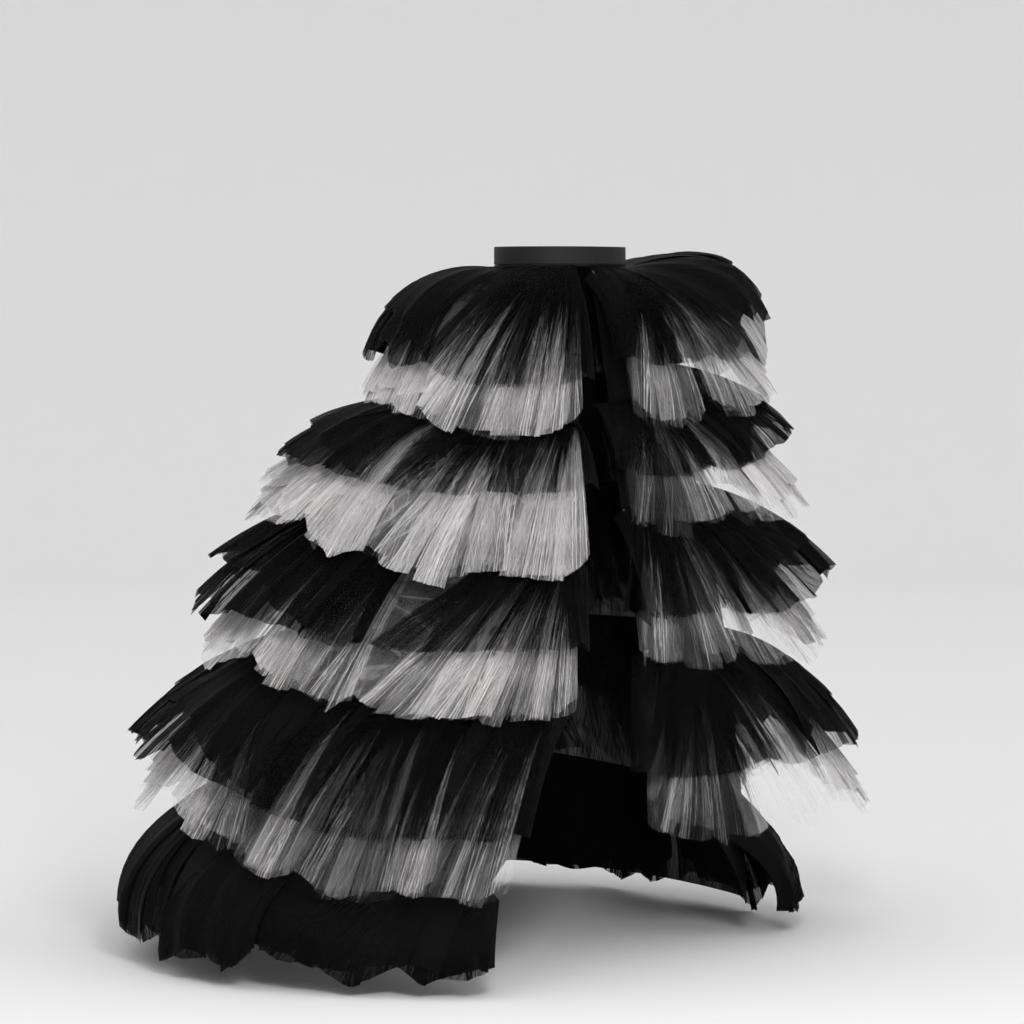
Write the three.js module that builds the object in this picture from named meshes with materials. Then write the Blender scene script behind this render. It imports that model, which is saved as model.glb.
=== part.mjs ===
// Tiered tulle overskirt, open down the front and worn at the waist. Millimetres, +Z up.
// The origin is the centre of the waist. The wearer faces -Y, and their left hand is towards +X.
// A black net foundation in four gores hangs from a waistband that closes with a hook and bar.
// Four ruffle tiers are sewn round it, each a short black frill over a longer white one,
// and a black frill finishes the hem. Each frill is joined from lengths of net.
import * as THREE from "three";

// Driving dimensions
const clothWall = 1.6; // a gathered frill, and the foundation's net with its stay tape
const seamGap = 0.3; // between any two pieces at a seam
const clearOfFacets = 0.5; // more room where a frill crosses the foundation's flat facets
const bandHeight = 30;
const bandWall = 2.4;
const bandLap = 9; // degrees that each end of the waistband runs past the centre front
const lapSpace = 3.2; // between the two ends, where the hook and bar lie
const waist = { toRight: 114, toLeft: 114, frontRight: 92, frontLeft: 92, toBack: 95 };

// Folds in a frill: its crests lie on the smooth form, with a trough in each pitch between them,
// deeper towards the hem.
const foldPitch = 84;
const foldDepth = 13;
const fullDepthAt = 190; // distance below the seam where a fold reaches its whole depth

// Round the skirt, angles run from 0 at the centre front to 180 at the centre back,
// and are negative on the wearer's right.
const frontUntil = 40; // a hem keeps its front level this far round
const sideAt = 95;

// The foundation's sections, from the waistband down. Reaches are from the waist's axis,
// and edges are the angles of its two front edges.
const foundation = [
  { drop: 15.8, toRight: 114, toLeft: 114, frontRight: 92, frontLeft: 92, toBack: 95,
    edgeRight: 7, edgeLeft: 6 },
  { drop: 60, toRight: 136, toLeft: 134, frontRight: 104, frontLeft: 102, toBack: 122,
    edgeRight: 8, edgeLeft: 6 },
  { drop: 140, toRight: 175, toLeft: 165, frontRight: 126, frontLeft: 118, toBack: 170,
    edgeRight: 9, edgeLeft: 7 },
  { drop: 260, toRight: 240, toLeft: 212, frontRight: 165, frontLeft: 136, toBack: 240,
    edgeRight: 10, edgeLeft: 8 },
  { drop: 420, toRight: 350, toLeft: 258, frontRight: 230, frontLeft: 156, toBack: 336,
    edgeRight: 11, edgeLeft: 9 },
  { drop: 640, toRight: 465, toLeft: 302, frontRight: 308, frontLeft: 180, toBack: 450,
    edgeRight: 14, edgeLeft: 12 },
  { drop: 900, toRight: 575, toLeft: 330, frontRight: 392, frontLeft: 208, toBack: 545,
    edgeRight: 22, edgeLeft: 24 },
  { drop: 1112, toRight: 645, toLeft: 340, frontRight: 455, frontLeft: 232, toBack: 610,
    edgeRight: 36, edgeLeft: 64 },
];

// Each tier's longer frill: its hem's reach and drop on each side, and where its front corners and
// joins are. Pulls say how far it stands out before it falls, as shares of its reach and drop.
const tiers = [
  { tier: 1, toRight: 330, toLeft: 400, frontRight: 225, frontLeft: 182, toBack: 345,
    dropRight: 250, dropLeft: 198, dropFrontRight: 292, dropFrontLeft: 258, dropBack: 245,
    edgeRight: 9.5, edgeLeft: 7, joinRight: 65, joinLeft: 32, pullOut: 0.7, pullDown: 0.28 },
  { tier: 2, toRight: 520, toLeft: 452, frontRight: 320, frontLeft: 226, toBack: 500,
    dropRight: 415, dropLeft: 402, dropFrontRight: 508, dropFrontLeft: 432, dropBack: 425,
    edgeRight: 10.5, edgeLeft: 3, joinRight: 77, joinLeft: 30, pullOut: 0.58, pullDown: 0.36 },
  { tier: 3, toRight: 605, toLeft: 493, frontRight: 405, frontLeft: 255, toBack: 622,
    dropRight: 655, dropLeft: 655, dropFrontRight: 740, dropFrontLeft: 668, dropBack: 655,
    edgeRight: 14, edgeLeft: 2.5, joinRight: 54, joinLeft: 29, pullOut: 0.52, pullDown: 0.4 },
  { tier: 4, toRight: 715, toLeft: 564, frontRight: 500, frontLeft: 282, toBack: 740,
    dropRight: 890, dropLeft: 935, dropFrontRight: 1015, dropFrontLeft: 940, dropBack: 895,
    edgeRight: 24.5, edgeLeft: 2.5, joinRight: 88, joinLeft: 32, pullOut: 0.52, pullDown: 0.4 },
  { tier: 5, toRight: 735, toLeft: 440, frontRight: 545, frontLeft: 272, toBack: 715,
    dropRight: 1104, dropLeft: 1130, dropFrontRight: 1130, dropFrontLeft: 1130, dropBack: 1130,
    edgeRight: 29, edgeLeft: 60, joinRight: 62, joinLeft: 118, pullOut: 1.1, pullDown: 0.42 },
];

// The black frill over each white one ends at these shares of the white frill's reach and drop.
// Falls say how soon it turns down on each side, and a negative one rises from the seam first.
const blackFrills = [
  { tier: 1, reachFront: 0.98, reachRight: 0.95, reachLeft: 0.96, reachBack: 0.95,
    dropFrontRight: 0.72, dropFrontLeft: 0.66, dropRight: 0.57, dropLeft: 0.36, dropBack: 0.5,
    fallFront: 0.2, fallRight: 0, fallLeft: -1, fallBack: 0 },
  { tier: 2, reachFront: 0.76, reachRight: 0.84, reachLeft: 0.96, reachBack: 0.88,
    dropFrontRight: 0.49, dropFrontLeft: 0.63, dropRight: 0.58, dropLeft: 0.49, dropBack: 0.5,
    fallFront: 0.25, fallRight: 0.2, fallLeft: 0.1, fallBack: 0.2 },
  { tier: 3, reachFront: 0.82, reachRight: 1.03, reachLeft: 1.16, reachBack: 1.06,
    dropFrontRight: 0.6, dropFrontLeft: 0.72, dropRight: 0.74, dropLeft: 0.58, dropBack: 0.53,
    fallFront: 0.28, fallRight: 0.3, fallLeft: 0.25, fallBack: 0.28 },
  { tier: 4, reachFront: 0.9, reachRight: 1.03, reachLeft: 0.99, reachBack: 1.02,
    dropFrontRight: 0.7, dropFrontLeft: 0.72, dropRight: 0.67, dropLeft: 0.68, dropBack: 0.56,
    fallFront: 0.28, fallRight: 0.3, fallLeft: 0.2, fallBack: 0.28 },
];
const blackStandsOut = 1.08; // its own pull outwards, against the white frill's
const blackAbove = 7; // its seam lies this far above the white one

const firstSeamDrop = 26; // the top tier's white seam
const seamAboveHem = 8; // every other tier's seam lies this far above the hem over it
const joinSlit = 1.5; // the free slit between two lengths of frill

// The hook turns back under the bar. Out is the distance from the waistband's lower end.
const hook = { back: -7, front: 5, tip: -1, halfHeight: 2.2, tongue: [0.5, 0.95], plate: [2.05, 2.65] };
const bar = { from: 1, width: 2, halfHeight: 5, legInner: 3, out: [0.5, 1.75], underside: 1.25 };

const radians = THREE.MathUtils.degToRad;
const lerp = THREE.MathUtils.lerp;
const smoothstep = THREE.MathUtils.smoothstep;

// A point at a signed angle on a section with reaches to the sides, front and back.
function onSection(section, angle, drop) {
  const side = angle < 0 ? section.toRight : section.toLeft;
  const front = angle < 0 ? section.frontRight : section.frontLeft;
  const ahead = Math.abs(angle) <= 90 ? front : section.toBack;
  return new THREE.Vector3(side * Math.sin(radians(angle)), -ahead * Math.cos(radians(angle)), -drop);
}

// The foundation's section at any drop, between its neighbours in the table.
function foundationAt(drop) {
  const last = foundation.length - 1;
  let below = foundation.findIndex((row) => row.drop > drop);
  if (below < 1) below = below === 0 ? 1 : last;
  const [upper, lower] = [foundation[below - 1], foundation[below]];
  const share = (drop - upper.drop) / (lower.drop - upper.drop);
  return Object.fromEntries(Object.keys(upper).map((key) => [key, lerp(upper[key], lower[key], share)]));
}

// A value that changes round the skirt, from the front to one side to the back.
function roundTo(angle, front, side, back) {
  const toSide = lerp(front, side, smoothstep(Math.abs(angle), frontUntil, sideAt));
  return lerp(toSide, back, smoothstep(Math.abs(angle), sideAt, 180));
}

// How far a tier's hem hangs at an angle.
function hemDrop(tier, angle) {
  if (angle < 0) return roundTo(angle, tier.dropFrontRight, tier.dropRight, tier.dropBack);
  return roundTo(angle, tier.dropFrontLeft, tier.dropLeft, tier.dropBack);
}

// Where a tier's seam runs: just below the waistband, or just above the last tier's hem.
function seamDrop(tier, angle) {
  if (tier.tier === 1) return firstSeamDrop;
  return hemDrop(tiers[tier.tier - 2], angle) - seamAboveHem;
}

// How a frill of one colour falls at an angle: where it ends, as shares of the tier's reach and drop,
// how it is pulled outwards and down on the way, and how far its seam is above the tier's.
function frillFall(tier, colour, angle) {
  if (colour === "white" || tier.tier === tiers.length) {
    return { reach: 1, drop: 1, out: tier.pullOut, down: tier.pullDown, above: 0 };
  }
  const black = blackFrills[tier.tier - 1];
  const side = angle < 0 ? "Right" : "Left";
  return {
    reach: roundTo(angle, black.reachFront, black[`reach${side}`], black.reachBack),
    drop: roundTo(angle, black[`dropFront${side}`], black[`drop${side}`], black.dropBack),
    out: tier.pullOut * blackStandsOut,
    down: roundTo(angle, black.fallFront, black[`fall${side}`], black.fallBack),
    above: blackAbove,
  };
}

// A cloth wall through a grid of points: faces, two edges and two ends, closed.
function clothGeometry(grid, wall) {
  const columns = grid.length;
  const rows = grid[0].length;
  const normalAt = (c, r) => {
    const along = grid[Math.min(c + 1, columns - 1)][r].clone().sub(grid[Math.max(c - 1, 0)][r]);
    const down = grid[c][Math.min(r + 1, rows - 1)].clone().sub(grid[c][Math.max(r - 1, 0)]);
    return along.cross(down).normalize();
  };
  const positions = [];
  const index = (c, r, side) => (c * rows + r) * 2 + side;
  for (let c = 0; c < columns; c++) {
    for (let r = 0; r < rows; r++) {
      const normal = normalAt(c, r);
      for (const side of [0.5, -0.5]) {
        positions.push(...grid[c][r].clone().addScaledVector(normal, side * wall).toArray());
      }
    }
  }
  const faces = [];
  const quad = (a, b, c, d) => faces.push(a, b, c, a, c, d);
  for (let c = 0; c < columns - 1; c++) {
    for (let r = 0; r < rows - 1; r++) {
      quad(index(c, r, 0), index(c + 1, r, 0), index(c + 1, r + 1, 0), index(c, r + 1, 0));
      quad(index(c, r, 1), index(c, r + 1, 1), index(c + 1, r + 1, 1), index(c + 1, r, 1));
    }
    const hem = rows - 1;
    quad(index(c, 0, 1), index(c + 1, 0, 1), index(c + 1, 0, 0), index(c, 0, 0));
    quad(index(c, hem, 0), index(c + 1, hem, 0), index(c + 1, hem, 1), index(c, hem, 1));
  }
  for (let r = 0; r < rows - 1; r++) {
    const end = columns - 1;
    quad(index(0, r, 1), index(0, r, 0), index(0, r + 1, 0), index(0, r + 1, 1));
    quad(index(end, r, 0), index(end, r, 1), index(end, r + 1, 1), index(end, r + 1, 0));
  }
  const geometry = new THREE.BufferGeometry();
  geometry.setAttribute("position", new THREE.Float32BufferAttribute(positions, 3));
  geometry.setIndex(faces);
  geometry.computeVertexNormals();
  return geometry;
}

const materials = {
  white: new THREE.MeshStandardMaterial({ color: 0xe0dedc, roughness: 0.75, metalness: 0 }),
  black: new THREE.MeshStandardMaterial({ color: 0x161615, roughness: 0.8, metalness: 0 }),
  foundation: new THREE.MeshStandardMaterial({ color: 0x0c0c0d, roughness: 0.85, metalness: 0 }),
  band: new THREE.MeshStandardMaterial({ color: 0x0a0a0a, roughness: 0.55, metalness: 0 }),
  steel: new THREE.MeshStandardMaterial({ color: 0x8c8c90, roughness: 0.35, metalness: 1 }),
};

const overskirt = new THREE.Group();

function addPiece(name, geometry, material) {
  const mesh = new THREE.Mesh(geometry, material);
  mesh.name = name;
  overskirt.add(mesh);
  return mesh;
}

// A point of a frill's smooth form: v runs from 0 at its seam to 1 at its hem.
function frillPoint(tier, colour, seamAngle, hemAngle, v) {
  const fall = frillFall(tier, colour, hemAngle);
  const seamAt = seamDrop(tier, seamAngle) - fall.above;
  const section = foundationAt(seamAt);
  const outwards = onSection(section, seamAngle, 0).normalize();
  const clear = clothWall + seamGap + clearOfFacets;
  const seam = onSection(section, seamAngle, seamAt).addScaledVector(outwards, clear);
  const whole = onSection(tier, hemAngle, hemDrop(tier, hemAngle)).sub(seam);
  const reach = new THREE.Vector3(whole.x, whole.y, 0).multiplyScalar(fall.reach);
  const drop = new THREE.Vector3(0, 0, whole.z).multiplyScalar(fall.drop);
  const along = (out, down) => seam.clone().addScaledVector(reach, out).addScaledVector(drop, down);
  return new THREE.QuadraticBezierCurve3(seam, along(fall.out, fall.down), along(1, 1)).getPoint(v);
}

// A length of frill between two angles, folded like a fan from its seam.
function frillGeometry(tier, colour, from, to) {
  const rows = tier.tier === 1 ? [0, 0.3, 0.62, 1] : [0, 0.45, 1];
  const angleAt = (u, v) => lerp(lerp(from.seam, from.hem, v), lerp(to.seam, to.hem, v), u);
  const hemAt = (u) => onSection(tier, angleAt(u, 1), 0);
  let hemLength = 0;
  for (let k = 0; k < 12; k++) hemLength += hemAt(k / 12).distanceTo(hemAt((k + 1) / 12));
  const columns = 2 * Math.max(2, Math.round(hemLength / foldPitch));
  const grid = [];
  for (let c = 0; c <= columns; c++) {
    const uneven = c % 2 ? 0.16 * Math.sin(2.4 * c + 1.7 * tier.tier) : 0;
    const u = THREE.MathUtils.clamp((c + uneven) / columns, 0, 1);
    const trough = c % 2 ? 0.8 + 0.2 * Math.sin(1.9 * c + tier.tier) : 0;
    const at = (v, du = 0) => frillPoint(tier, colour, angleAt(u + du, 0), angleAt(u + du, 1), v);
    grid.push(
      rows.map((v) => {
        const point = at(v);
        const along = at(v, 0.01).sub(at(v, -0.01));
        const down = at(Math.min(v + 0.05, 1)).sub(at(Math.max(v - 0.05, 0)));
        const inwards = along.cross(down).normalize();
        const below = Math.min(1, (v * at(1).distanceTo(at(0))) / fullDepthAt);
        return point.addScaledVector(inwards, foldDepth * below * trough);
      }),
    );
  }
  return clothGeometry(grid, clothWall);
}

// The four lengths of a frill, from its right front edge round the back to its left front edge.
function frillLengths(tier) {
  const slit = THREE.MathUtils.radToDeg(joinSlit / tier.toRight);
  const round = (degrees) => ({ seam: degrees, hem: degrees });
  const edgeRight = { seam: -foundationAt(seamDrop(tier, -1)).edgeRight, hem: -tier.edgeRight };
  const edgeLeft = { seam: foundationAt(seamDrop(tier, 1)).edgeLeft, hem: tier.edgeLeft };
  return [
    ["right_front", round(-tier.joinRight + slit), edgeRight],
    ["right_back", round(-180 + slit), round(-tier.joinRight - slit)],
    ["left_back", round(tier.joinLeft + slit), round(180 - slit)],
    ["left_front", edgeLeft, round(tier.joinLeft - slit)],
  ];
}

function addTier(tier) {
  const colours = tier.tier === tiers.length ? ["black"] : ["white", "black"];
  for (const colour of colours) {
    for (const [place, from, to] of frillLengths(tier)) {
      const name = `tier${tier.tier}_${colour}_${place}`;
      addPiece(name, frillGeometry(tier, colour, from, to), materials[colour]);
    }
  }
}

// One gore of the foundation, between two angles that may change from section to section.
function addGore(name, from, to) {
  const columns = 9;
  const grid = [];
  for (let c = 0; c <= columns; c++) {
    const angleOn = (section) => lerp(from(section), to(section), c / columns);
    grid.push(foundation.map((section) => onSection(section, angleOn(section), section.drop)));
  }
  addPiece(name, clothGeometry(grid, clothWall), materials.foundation);
}

function addFoundation() {
  const half = THREE.MathUtils.radToDeg(seamGap / 2 / waist.toBack) + 0.02;
  addGore("foundation_right_front", () => -90 + half, (section) => -section.edgeRight);
  addGore("foundation_right_back", () => -180 + half, () => -90 - half);
  addGore("foundation_left_back", () => 90 + half, () => 180 - half);
  addGore("foundation_left_front", (section) => section.edgeLeft, () => 90 - half);
}

// The waistband runs once round the waist, and its ends lap at the front: the right end lies outside.
function addWaistband() {
  const columns = 42;
  const apart = (lapSpace + bandWall) / 2;
  const start = 360 + bandLap; // from the underlap, on the wearer's left, round the back
  const grid = [];
  for (let c = 0; c <= columns; c++) {
    const turn = lerp(-bandLap, start, c / columns);
    const angle = turn > 180 ? turn - 360 : turn;
    const fromEnd = Math.min(turn + bandLap, start - turn);
    const aside = apart * (1 - smoothstep(fromEnd, 2.5 * bandLap, 6 * bandLap));
    const outwards = onSection(waist, angle, 0).normalize();
    const middle = onSection(waist, angle, 0).addScaledVector(outwards, turn < 180 ? -aside : aside);
    grid.push([bandHeight / 2, -bandHeight / 2].map((z) => middle.clone().setZ(z)));
  }
  addPiece("waistband", clothGeometry(grid, bandWall), materials.band);
}

// The outer face of the waistband's lower end at the centre front, which carries the bar.
const lapFace = -(waist.frontRight - lapSpace / 2);

function extrude(outline, depth) {
  const shape = new THREE.Shape(outline.map(([x, y]) => new THREE.Vector2(x, y)));
  return new THREE.ExtrudeGeometry(shape, { depth, bevelEnabled: false });
}

// A flat plate that turns back at the front into a tongue under the bar.
function addHook() {
  const { back, front, tip, halfHeight, tongue, plate } = hook;
  const outline = [
    [back, -plate[0]],
    [front - (tongue[1] - tongue[0]), -plate[0]],
    [front - (tongue[1] - tongue[0]), -tongue[1]],
    [tip, -tongue[1]],
    [tip, -tongue[0]],
    [front, -tongue[0]],
    [front, -plate[1]],
    [back, -plate[1]],
  ];
  addPiece("hook", extrude(outline, 2 * halfHeight), materials.steel).position.set(0, lapFace, -halfHeight);
}

// A low bridge on two legs, which the tongue passes under.
function addBar() {
  const { from, width, halfHeight, legInner, out, underside } = bar;
  const outline = [
    [-halfHeight, -out[0]],
    [-halfHeight, -out[1]],
    [halfHeight, -out[1]],
    [halfHeight, -out[0]],
    [legInner, -out[0]],
    [legInner, -underside],
    [-legInner, -underside],
    [-legInner, -out[0]],
  ];
  const mesh = addPiece("bar", extrude(outline, width), materials.steel);
  mesh.rotation.y = Math.PI / 2;
  mesh.position.set(from, lapFace, 0);
}

addFoundation();
tiers.forEach(addTier);
addWaistband();
addHook();
addBar();

export default overskirt;
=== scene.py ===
# Looks for the tiered tulle overskirt, in metres, in the same frame as its CAD model.
# The origin is the centre of the waist, the wearer faces -Y, and their left is towards +X.
import math

import bmesh
import bpy
import numpy as np
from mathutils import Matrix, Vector


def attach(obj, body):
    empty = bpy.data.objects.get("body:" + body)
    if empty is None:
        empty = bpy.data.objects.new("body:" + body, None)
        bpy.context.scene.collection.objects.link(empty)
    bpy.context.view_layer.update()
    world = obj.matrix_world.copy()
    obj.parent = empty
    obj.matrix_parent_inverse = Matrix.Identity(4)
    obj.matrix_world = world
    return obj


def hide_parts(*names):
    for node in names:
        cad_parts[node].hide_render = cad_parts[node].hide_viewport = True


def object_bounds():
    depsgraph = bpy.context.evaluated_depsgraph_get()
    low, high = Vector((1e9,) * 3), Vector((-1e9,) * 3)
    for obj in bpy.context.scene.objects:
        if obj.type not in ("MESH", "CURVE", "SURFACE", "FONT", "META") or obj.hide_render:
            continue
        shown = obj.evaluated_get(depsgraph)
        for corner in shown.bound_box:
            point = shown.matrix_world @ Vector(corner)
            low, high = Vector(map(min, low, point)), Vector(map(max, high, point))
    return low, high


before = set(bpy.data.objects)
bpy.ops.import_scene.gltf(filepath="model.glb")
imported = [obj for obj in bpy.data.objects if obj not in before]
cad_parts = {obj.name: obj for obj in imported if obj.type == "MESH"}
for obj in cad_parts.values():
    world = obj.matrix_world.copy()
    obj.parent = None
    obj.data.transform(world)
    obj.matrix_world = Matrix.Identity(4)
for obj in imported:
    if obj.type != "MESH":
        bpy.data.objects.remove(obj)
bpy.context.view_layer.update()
print("frame loaded:", len(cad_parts), "nodes")

mm = 0.001

# Sections of the foundation, in millimetres below the waist's centre.
foundationRows = {
    "drop": [15.8, 60, 140, 260, 420, 640, 900, 1112],
    "toRight": [114, 136, 175, 240, 350, 465, 575, 645],
    "toLeft": [114, 134, 165, 212, 258, 302, 330, 340],
    "frontRight": [92, 104, 126, 165, 230, 308, 392, 455],
    "frontLeft": [92, 102, 118, 136, 156, 180, 208, 232],
    "toBack": [95, 122, 170, 240, 336, 450, 545, 610],
    "edgeRight": [7, 8, 9, 10, 11, 14, 22, 36],
    "edgeLeft": [6, 6, 7, 8, 9, 12, 24, 64],
}

tiers = [
    {"toRight": 330, "toLeft": 400, "frontRight": 225, "frontLeft": 182, "toBack": 345,
     "dropRight": 250, "dropLeft": 198, "dropFrontRight": 292, "dropFrontLeft": 258, "dropBack": 245,
     "edgeRight": 9.5, "edgeLeft": 7, "joinRight": 65, "joinLeft": 32, "pullOut": 0.7, "pullDown": 0.28},
    {"toRight": 520, "toLeft": 452, "frontRight": 320, "frontLeft": 226, "toBack": 500,
     "dropRight": 415, "dropLeft": 402, "dropFrontRight": 508, "dropFrontLeft": 432, "dropBack": 425,
     "edgeRight": 10.5, "edgeLeft": 3, "joinRight": 77, "joinLeft": 30, "pullOut": 0.58, "pullDown": 0.36},
    {"toRight": 605, "toLeft": 493, "frontRight": 405, "frontLeft": 255, "toBack": 622,
     "dropRight": 655, "dropLeft": 655, "dropFrontRight": 740, "dropFrontLeft": 668, "dropBack": 655,
     "edgeRight": 14, "edgeLeft": 2.5, "joinRight": 54, "joinLeft": 29, "pullOut": 0.52, "pullDown": 0.4},
    {"toRight": 715, "toLeft": 564, "frontRight": 500, "frontLeft": 282, "toBack": 740,
     "dropRight": 890, "dropLeft": 935, "dropFrontRight": 1015, "dropFrontLeft": 940, "dropBack": 895,
     "edgeRight": 24.5, "edgeLeft": 2.5, "joinRight": 88, "joinLeft": 32, "pullOut": 0.52, "pullDown": 0.4},
    {"toRight": 735, "toLeft": 440, "frontRight": 545, "frontLeft": 272, "toBack": 715,
     "dropRight": 1104, "dropLeft": 1130, "dropFrontRight": 1130, "dropFrontLeft": 1130, "dropBack": 1130,
     "edgeRight": 29, "edgeLeft": 60, "joinRight": 62, "joinLeft": 118, "pullOut": 1.1, "pullDown": 0.42},
]

# Each black frill's end, as shares of the white one's reach and drop, and how soon it turns down.
blackFrills = [
    {"reachFront": 0.98, "reachRight": 0.95, "reachLeft": 0.96, "reachBack": 0.95,
     "dropFrontRight": 0.72, "dropFrontLeft": 0.66, "dropRight": 0.57, "dropLeft": 0.36, "dropBack": 0.5,
     "fallFront": 0.2, "fallRight": 0, "fallLeft": -1, "fallBack": 0},
    {"reachFront": 0.76, "reachRight": 0.84, "reachLeft": 0.96, "reachBack": 0.88,
     "dropFrontRight": 0.49, "dropFrontLeft": 0.63, "dropRight": 0.58, "dropLeft": 0.49, "dropBack": 0.5,
     "fallFront": 0.25, "fallRight": 0.2, "fallLeft": 0.1, "fallBack": 0.2},
    {"reachFront": 0.82, "reachRight": 1.03, "reachLeft": 1.16, "reachBack": 1.06,
     "dropFrontRight": 0.6, "dropFrontLeft": 0.72, "dropRight": 0.74, "dropLeft": 0.58, "dropBack": 0.53,
     "fallFront": 0.28, "fallRight": 0.3, "fallLeft": 0.25, "fallBack": 0.28},
    {"reachFront": 0.9, "reachRight": 1.03, "reachLeft": 0.99, "reachBack": 1.02,
     "dropFrontRight": 0.7, "dropFrontLeft": 0.72, "dropRight": 0.67, "dropLeft": 0.68, "dropBack": 0.56,
     "fallFront": 0.28, "fallRight": 0.3, "fallLeft": 0.2, "fallBack": 0.28},
]

form = {
    "frontUntil": 40,  # degrees
    "sideAt": 95,
    "seamClear": 2.4,  # a frill's seam stands this far off the foundation
    "blackStandsOut": 1.08,
    "blackAbove": 7,
    "firstSeamDrop": 26,
    "seamAboveHem": 8,
    "joinSlit": 1.5,
}


def smoothstep(x, low, high):
    t = np.clip((x - low) / (high - low), 0, 1)
    return t * t * (3 - 2 * t)


def lerp(a, b, t):
    return a + (b - a) * t


def onSection(section, angle, drop):
    turn = np.radians(angle)
    side = np.where(angle < 0, section["toRight"], section["toLeft"])
    front = np.where(angle < 0, section["frontRight"], section["frontLeft"])
    ahead = np.where(np.abs(angle) <= 90, front, section["toBack"])
    return np.stack(np.broadcast_arrays(side * np.sin(turn), -ahead * np.cos(turn), -drop), -1)


def foundationAt(drop):
    rows = foundationRows
    return {key: np.interp(drop, rows["drop"], rows[key]) for key in rows if key != "drop"}


def roundTo(angle, front, side, back):
    toSide = lerp(front, side, smoothstep(np.abs(angle), form["frontUntil"], form["sideAt"]))
    return lerp(toSide, back, smoothstep(np.abs(angle), form["sideAt"], 180))


def hemDrop(tier, angle):
    right = roundTo(angle, tier["dropFrontRight"], tier["dropRight"], tier["dropBack"])
    left = roundTo(angle, tier["dropFrontLeft"], tier["dropLeft"], tier["dropBack"])
    return np.where(angle < 0, right, left)


def seamDrop(number, angle):
    if number == 1:
        return np.full(np.shape(angle), float(form["firstSeamDrop"]))
    return hemDrop(tiers[number - 2], angle) - form["seamAboveHem"]


# Where a frill of one colour ends at an angle, and how it is pulled on the way.
def frillFall(number, colour, angle):
    tier = tiers[number - 1]
    one = np.ones(np.shape(angle))
    if colour == "white" or number == len(tiers):
        return {"reach": one, "drop": one, "out": tier["pullOut"], "down": tier["pullDown"] * one, "above": 0}
    black = blackFrills[number - 1]

    def bySide(front, side):
        right = roundTo(angle, black[front[0]], black[side + "Right"], black[side + "Back"])
        left = roundTo(angle, black[front[1]], black[side + "Left"], black[side + "Back"])
        return np.where(angle < 0, right, left)

    return {
        "reach": bySide(("reachFront", "reachFront"), "reach"),
        "drop": bySide(("dropFrontRight", "dropFrontLeft"), "drop"),
        "out": tier["pullOut"] * form["blackStandsOut"],
        "down": bySide(("fallFront", "fallFront"), "fall"),
        "above": form["blackAbove"],
    }


# Points of a frill's smooth form, in millimetres: v runs from 0 at its seam to 1 at its hem.
def frillPoint(number, colour, seamAngle, hemAngle, v):
    fall = frillFall(number, colour, hemAngle)
    seamAt = seamDrop(number, seamAngle) - fall["above"]
    section = foundationAt(seamAt)
    outwards = onSection(section, seamAngle, 0 * seamAt)
    outwards = outwards / np.linalg.norm(outwards, axis=-1, keepdims=True)
    seam = onSection(section, seamAngle, seamAt) + outwards * form["seamClear"]
    whole = onSection(tiers[number - 1], hemAngle, hemDrop(tiers[number - 1], hemAngle)) - seam
    flat = np.array([1.0, 1.0, 0.0])
    reach = whole * flat * fall["reach"][..., None]
    drop = whole * (1 - flat) * fall["drop"][..., None]
    pull = seam + reach * fall["out"] + drop * fall["down"][..., None]
    hem = seam + reach + drop
    v = v[..., None]
    return (1 - v) ** 2 * seam + 2 * v * (1 - v) * pull + v**2 * hem


# The four lengths of a frill, each between two angles at its seam and two at its hem.
def frillLengths(number):
    tier = tiers[number - 1]
    slit = math.degrees(form["joinSlit"] / tier["toRight"])
    seamEdge = {
        "right": -float(foundationAt(seamDrop(number, np.array(-1.0)))["edgeRight"]),
        "left": float(foundationAt(seamDrop(number, np.array(1.0)))["edgeLeft"]),
    }
    right, left = -tier["joinRight"], tier["joinLeft"]
    return {
        "right_front": ((right + slit, right + slit), (seamEdge["right"], -tier["edgeRight"])),
        "right_back": ((-180 + slit, -180 + slit), (right - slit, right - slit)),
        "left_back": ((left + slit, left + slit), (180 - slit, 180 - slit)),
        "left_front": ((seamEdge["left"], tier["edgeLeft"]), (left - slit, left - slit)),
    }


def makeMesh(name, points, quads, uv=None, attributes=None, sharp=None):
    mesh = bpy.data.meshes.new(name)
    mesh.vertices.add(len(points))
    mesh.vertices.foreach_set("co", points.astype(np.float32).ravel())
    mesh.loops.add(quads.size)
    mesh.loops.foreach_set("vertex_index", quads.astype(np.int32).ravel())
    mesh.polygons.add(len(quads))
    mesh.polygons.foreach_set("loop_start", np.arange(0, quads.size, 4, dtype=np.int32))
    mesh.update(calc_edges=True)
    if uv is not None:
        layer = mesh.uv_layers.new(name="cloth")
        layer.data.foreach_set("uv", uv[quads.ravel()].astype(np.float32).ravel())
    for key, values in (attributes or {}).items():
        domain = "CORNER" if len(values) == quads.size else "POINT"
        mesh.attributes.new(key, "FLOAT", domain).data.foreach_set("value", values.astype(np.float32))
    if sharp is not None:
        ends = np.empty(len(mesh.edges) * 2, dtype=np.int32)
        mesh.edges.foreach_get("vertices", ends)
        ends = ends.reshape(-1, 2)
        along = sharp[ends[:, 0]] & sharp[ends[:, 1]] & (np.abs(ends[:, 0] - ends[:, 1]) == 1)
        mesh.attributes.new("sharp_edge", "BOOLEAN", "EDGE").data.foreach_set("value", along)
    mesh.validate()
    piece = bpy.data.objects.new(name, mesh)
    bpy.context.scene.collection.objects.link(piece)
    return piece


def gridQuads(columns, rows, start=0):
    index = start + np.arange(columns * rows).reshape(columns, rows)
    return np.stack(
        [index[:-1, :-1], index[1:, :-1], index[1:, 1:], index[:-1, 1:]], -1
    ).reshape(-1, 4)


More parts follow.
